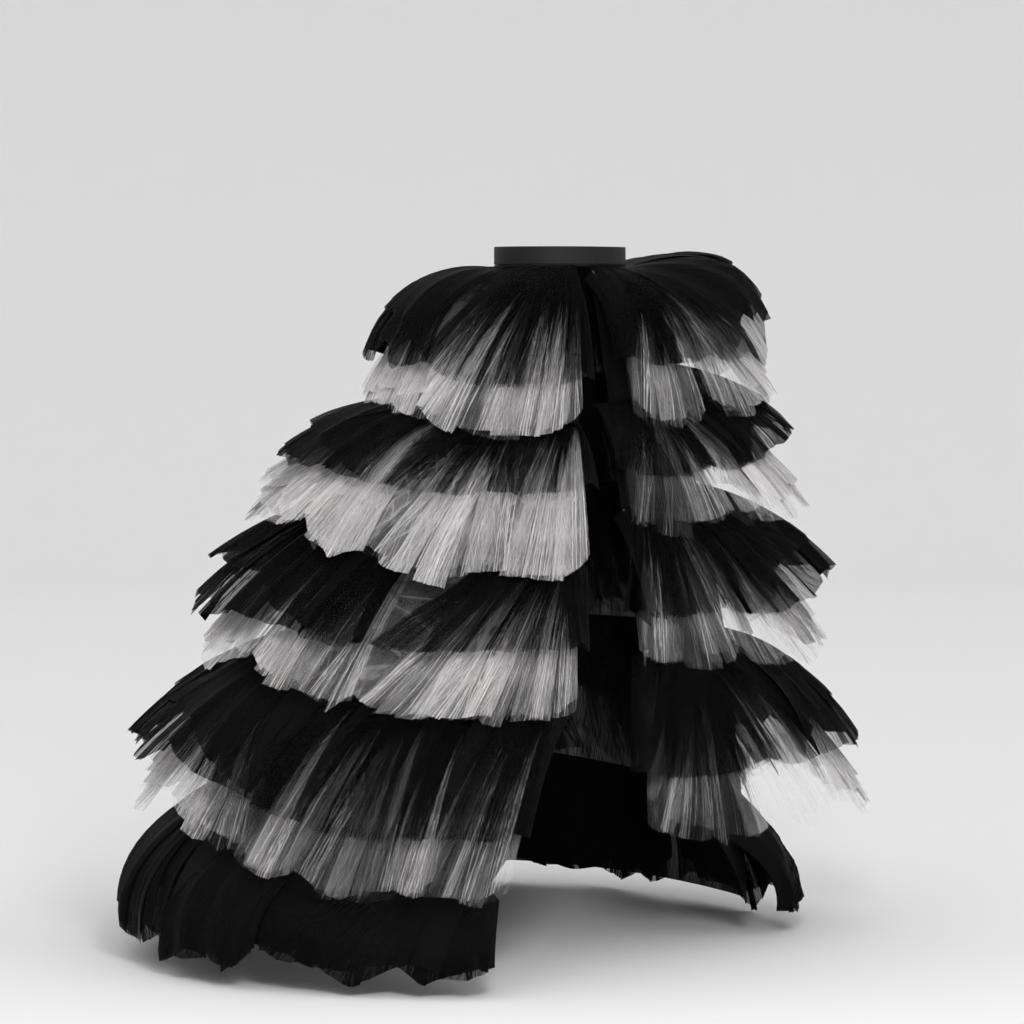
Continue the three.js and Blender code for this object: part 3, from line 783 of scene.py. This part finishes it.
# One closed sleeve round the wall's section, so the ends and edges are closed as well.
def makeRibbon():
    half, wall, soft = ribbon["height"] / 2, ribbon["wall"] / 2, ribbon["roundEdge"]
    perimeter = 2 * math.pi * ribbon["meanRadius"]
    columns = int(perimeter * (1 + ribbon["lap"] / 180) / ribbon["rib"]) * 2 + 1
    turn = np.linspace(-ribbon["lap"], 360 + ribbon["lap"], columns)
    inner = half - ribbon["heightsWithin"]
    heights = np.array([-half + soft, *np.linspace(-inner, inner, ribbon["heightsCount"]), half - soft])
    section = [(wall, z) for z in heights] + [(wall * 0.5, half)] + [(-wall * 0.5, half)]
    section += [(-wall, z) for z in heights[::-1]] + [(-wall * 0.5, -half), (wall * 0.5, -half)]
    ribs = np.where(np.arange(columns) % 2 == 0, ribbon["ribDeep"] / 2, -ribbon["ribDeep"] / 2)
    rings = []
    for out, z in section:
        outer = out + ribs * np.sign(out) * (abs(z) < half - soft + 0.01)
        rings.append(onBand(turn, outer, z))
    points = np.stack([*rings, rings[0]], 1)
    rows = points.shape[1]
    edge = np.array([abs(z) / half for _, z in section] + [abs(section[0][1]) / half])
    wear = np.clip((edge - ribbon["edgeWearFrom"]) * ribbon["edgeWearRise"], 0, 1)
    wear = np.broadcast_to(wear, points.shape[:2])
    steps = [math.dist(a, b) for a, b in zip(section, section[1:] + section[:1])]
    around = np.concatenate([[0], np.cumsum(steps)])
    long = turn / 360 * perimeter
    uv = np.stack(np.broadcast_arrays(long[:, None], around[None, :]), -1) * mm
    piece = makeMesh("ribbon_waistband", points.reshape(-1, 3) * mm, gridQuads(columns, rows),
                     uv.reshape(-1, 2), {"edgeWear": wear.ravel()})
    work = bmesh.new()
    work.from_mesh(piece.data)
    bmesh.ops.remove_doubles(work, verts=work.verts, dist=1e-6)
    bmesh.ops.holes_fill(work, edges=[e for e in work.edges if e.is_boundary], sides=0)
    bmesh.ops.recalc_face_normals(work, faces=work.faces)
    work.to_mesh(piece.data)
    work.free()
    piece.data.materials.append(ribbonMaterial())
    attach(piece, "root")
    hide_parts("waistband")
    print("waistband made")


makeRibbon()

# Lockstitches along the ribbon's two edges.
stitches = {
    "apart": 3.2, "long": 2.3, "thick": 0.42, "fromEdge": 2.4, "stand": 0.12,
    "ink": (0.008, 0.008, 0.009), "worn": (0.03, 0.03, 0.032), "twistScale": 900, "rough": 0.45,
    "endsOff": 1, "lineSteps": 240,
}


def stitchTree(material):
    tree = bpy.data.node_groups.new("stitchRun", "GeometryNodeTree")
    tree.interface.new_socket("Geometry", in_out="INPUT", socket_type="NodeSocketGeometry")
    for key, name in (("Spacing", "apart"), ("Stitch Length", "long"), ("Thread", "thick")):
        socket = tree.interface.new_socket(key, in_out="INPUT", socket_type="NodeSocketFloat")
        socket.default_value = stitches[name] * mm
    tree.interface.new_socket("Geometry", in_out="OUTPUT", socket_type="NodeSocketGeometry")

    def add(kind, **inputs):
        node = tree.nodes.new(kind)
        for key, value in inputs.items():
            socket = node.inputs[key.replace("_", " ")]
            if isinstance(value, bpy.types.NodeSocket):
                tree.links.new(value, socket)
            else:
                socket.default_value = value
        return node

    given = add("NodeGroupInput").outputs
    curve = add("GeometryNodeMeshToCurve", Mesh=given["Geometry"])
    points = tree.nodes.new("GeometryNodeCurveToPoints")
    points.mode = "LENGTH"
    tree.links.new(curve.outputs["Curve"], points.inputs["Curve"])
    tree.links.new(given["Spacing"], points.inputs["Length"])
    bead = add("GeometryNodeMeshUVSphere", Segments=8, Rings=5, Radius=0.5)
    size = add("ShaderNodeCombineXYZ", X=given["Thread"], Y=given["Thread"], Z=given["Stitch Length"])
    stitch = add("GeometryNodeTransform", Geometry=bead.outputs["Mesh"], Scale=size.outputs["Vector"])
    placed = add("GeometryNodeInstanceOnPoints", Points=points.outputs["Points"],
                 Instance=stitch.outputs["Geometry"], Rotation=points.outputs["Rotation"])
    real = add("GeometryNodeRealizeInstances", Geometry=placed.outputs["Instances"])
    smooth = add("GeometryNodeSetShadeSmooth", Geometry=real.outputs["Geometry"])
    dressed = add("GeometryNodeSetMaterial", Geometry=smooth.outputs["Geometry"], Material=material)
    add("NodeGroupOutput", Geometry=dressed.outputs["Geometry"])
    return tree


def threadMaterial():
    material, nodes, links, shader = nodesOf("blackThread")
    place = nodes.new("ShaderNodeTexCoord")
    ply = nodes.new("ShaderNodeTexNoise")
    ply.inputs["Scale"].default_value = stitches["twistScale"]
    links.new(place.outputs["Object"], ply.inputs["Vector"])
    color = nodes.new("ShaderNodeMix")
    color.data_type = "RGBA"
    color.inputs["A"].default_value = (*stitches["ink"], 1)
    color.inputs["B"].default_value = (*stitches["worn"], 1)
    links.new(ply.outputs["Fac"], color.inputs["Factor"])
    links.new(color.outputs["Result"], shader.inputs["Base Color"])
    shader.inputs["Roughness"].default_value = stitches["rough"]
    return material


def makeStitches():
    beyond = ribbon["lap"] - stitches["endsOff"]
    turn = np.linspace(-beyond, 360 + beyond, stitches["lineSteps"])
    edge = ribbon["height"] / 2 - stitches["fromEdge"]
    out = ribbon["wall"] / 2 + ribbon["ribDeep"] / 2 + stitches["stand"]
    runs = np.stack([onBand(turn, out + 0 * turn, z) for z in (edge, -edge)]) * mm
    mesh = bpy.data.meshes.new("stitchLines")
    index = np.arange(2 * len(turn)).reshape(2, -1)
    mesh.from_pydata(runs.reshape(-1, 3), np.stack([index[:, :-1], index[:, 1:]], -1).reshape(-1, 2), [])
    lines = bpy.data.objects.new("stitchLines", mesh)
    bpy.context.scene.collection.objects.link(lines)
    tree = stitchTree(threadMaterial())
    modifier = lines.modifiers.new("stitches", "NODES")
    modifier.node_group = tree
    for item in tree.interface.items_tree:
        if item.in_out == "INPUT" and item.socket_type == "NodeSocketFloat":
            modifier[item.identifier] = item.default_value
    sewn = bpy.data.meshes.new_from_object(lines.evaluated_get(bpy.context.evaluated_depsgraph_get()))
    sewn.name = "stitches_waistband"
    piece = bpy.data.objects.new("stitches_waistband", sewn)
    bpy.context.scene.collection.objects.link(piece)
    bpy.data.objects.remove(lines)
    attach(piece, "root")
    print("stitches made:", len(sewn.polygons), "faces")


makeStitches()

steel = {
    "fresh": (0.56, 0.56, 0.58), "dull": (0.3, 0.3, 0.31), "rough": (0.22, 0.48),
    "strokes": (40, 2600, 2600), "bump": 0.2, "bumpHeight": 0.0001,
}


def steelMaterial():
    material, nodes, links, shader = nodesOf("brushedSteel")
    place = nodes.new("ShaderNodeTexCoord")
    stretch = nodes.new("ShaderNodeMapping")
    stretch.inputs["Scale"].default_value = steel["strokes"]
    links.new(place.outputs["Object"], stretch.inputs["Vector"])
    strokes = nodes.new("ShaderNodeTexNoise")
    strokes.inputs["Scale"].default_value = 1
    strokes.inputs["Detail"].default_value = 3
    links.new(stretch.outputs["Vector"], strokes.inputs["Vector"])
    color = nodes.new("ShaderNodeMix")
    color.data_type = "RGBA"
    color.inputs["A"].default_value = (*steel["fresh"], 1)
    color.inputs["B"].default_value = (*steel["dull"], 1)
    links.new(strokes.outputs["Fac"], color.inputs["Factor"])
    links.new(color.outputs["Result"], shader.inputs["Base Color"])
    span = nodes.new("ShaderNodeMapRange")
    span.inputs["To Min"].default_value, span.inputs["To Max"].default_value = steel["rough"]
    links.new(strokes.outputs["Fac"], span.inputs["Value"])
    links.new(span.outputs["Result"], shader.inputs["Roughness"])
    bump = nodes.new("ShaderNodeBump")
    bump.inputs["Strength"].default_value = steel["bump"]
    bump.inputs["Distance"].default_value = steel["bumpHeight"]
    links.new(strokes.outputs["Fac"], bump.inputs["Height"])
    links.new(bump.outputs["Normal"], shader.inputs["Normal"])
    shader.inputs["Metallic"].default_value = 1
    return material


brushedSteel = steelMaterial()
for name in ("hook", "bar"):
    for slot in bpy.data.objects[name].material_slots:
        slot.material = brushedSteel
print("hook and bar finished")

view = {
    "azimuth": -25, "distance": 6.5, "height": -0.09, "lens": 134.4,
    "aimSide": -0.0816, "aimHeight": -0.435,
}
turn = math.radians(view["azimuth"])
right = np.array([math.cos(turn), math.sin(turn), 0])
eye = view["distance"] * np.array([math.sin(turn), -math.cos(turn), 0]) + np.array([0, 0, view["height"]])
aim = view["aimSide"] * right + np.array([0, 0, view["aimHeight"]])
camera = bpy.data.objects.new("camera", bpy.data.cameras.new("camera"))
bpy.context.scene.collection.objects.link(camera)
camera.data.lens = view["lens"]
camera.data.sensor_width = 36
camera.data.clip_end = 50
camera.location = eye
camera.rotation_euler = Vector(aim - eye).to_track_quat("-Z", "Y").to_euler()
bpy.context.scene.camera = camera

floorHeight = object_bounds()[0][2] - 0.001
studio = {
    "flat": 8.5, "cove": 4.0, "high": 5.0,  # metres
    "rings": (0.0001, 2, 5), "coveSteps": 16, "turns": 97,
    "pale": (0.86, 0.86, 0.86), "rough": 0.9, "specular": 0.1,
    "daylight": 0.95,
}
keyLight = {"place": (-0.9, -2.6, 0.7), "target": (-0.1, -0.3, -0.35), "size": 0.7, "power": 34}


def makeFloor():
    material, nodes, links, shader = nodesOf("paleFloor")
    shader.inputs["Base Color"].default_value = (*studio["pale"], 1)
    shader.inputs["Roughness"].default_value = studio["rough"]
    shader.inputs["Specular IOR Level"].default_value = studio["specular"]
    flat, cove, high = studio["flat"], studio["cove"], studio["high"]
    bend = np.linspace(0, math.pi / 2, studio["coveSteps"])
    radii = np.concatenate([studio["rings"], flat + cove * np.sin(bend), [flat + cove]])[:, None]
    heights = np.concatenate([[0] * len(studio["rings"]), cove * (1 - np.cos(bend)), [high]])[:, None]
    turns = np.linspace(0, 2 * math.pi, studio["turns"])
    ring = (radii * np.cos(turns), radii * np.sin(turns), heights + floorHeight)
    points = np.stack(np.broadcast_arrays(*ring), -1)
    piece = makeMesh("floor", points.reshape(-1, 3), gridQuads(*points.shape[:2]))
    piece.data.shade_smooth()
    piece.data.materials.append(material)


makeFloor()


def makeKeyLight():
    light = bpy.data.lights.new("key", "AREA")
    light.shape = "DISK"
    light.size = keyLight["size"]
    light.energy = keyLight["power"]
    lamp = bpy.data.objects.new("key", light)
    lamp.location = keyLight["place"]
    ahead = Vector(keyLight["target"]) - Vector(keyLight["place"])
    lamp.rotation_euler = ahead.to_track_quat("-Z", "Y").to_euler()
    bpy.context.scene.collection.objects.link(lamp)


makeKeyLight()
world = bpy.data.worlds.new("studio")
bpy.context.scene.world = world
world.use_nodes = True
daylight = world.node_tree.nodes["Background"].inputs
daylight["Color"].default_value = (1, 1, 1, 1)
daylight["Strength"].default_value = studio["daylight"]
print("camera, floor and lights made")
bpy.context.scene.view_settings.view_transform = "Standard"
cycles = bpy.context.scene.cycles
cycles.transparent_max_bounces = 12  # layers of net that light can pass
cycles.max_bounces = 5
cycles.diffuse_bounces = 1
cycles.glossy_bounces = 1
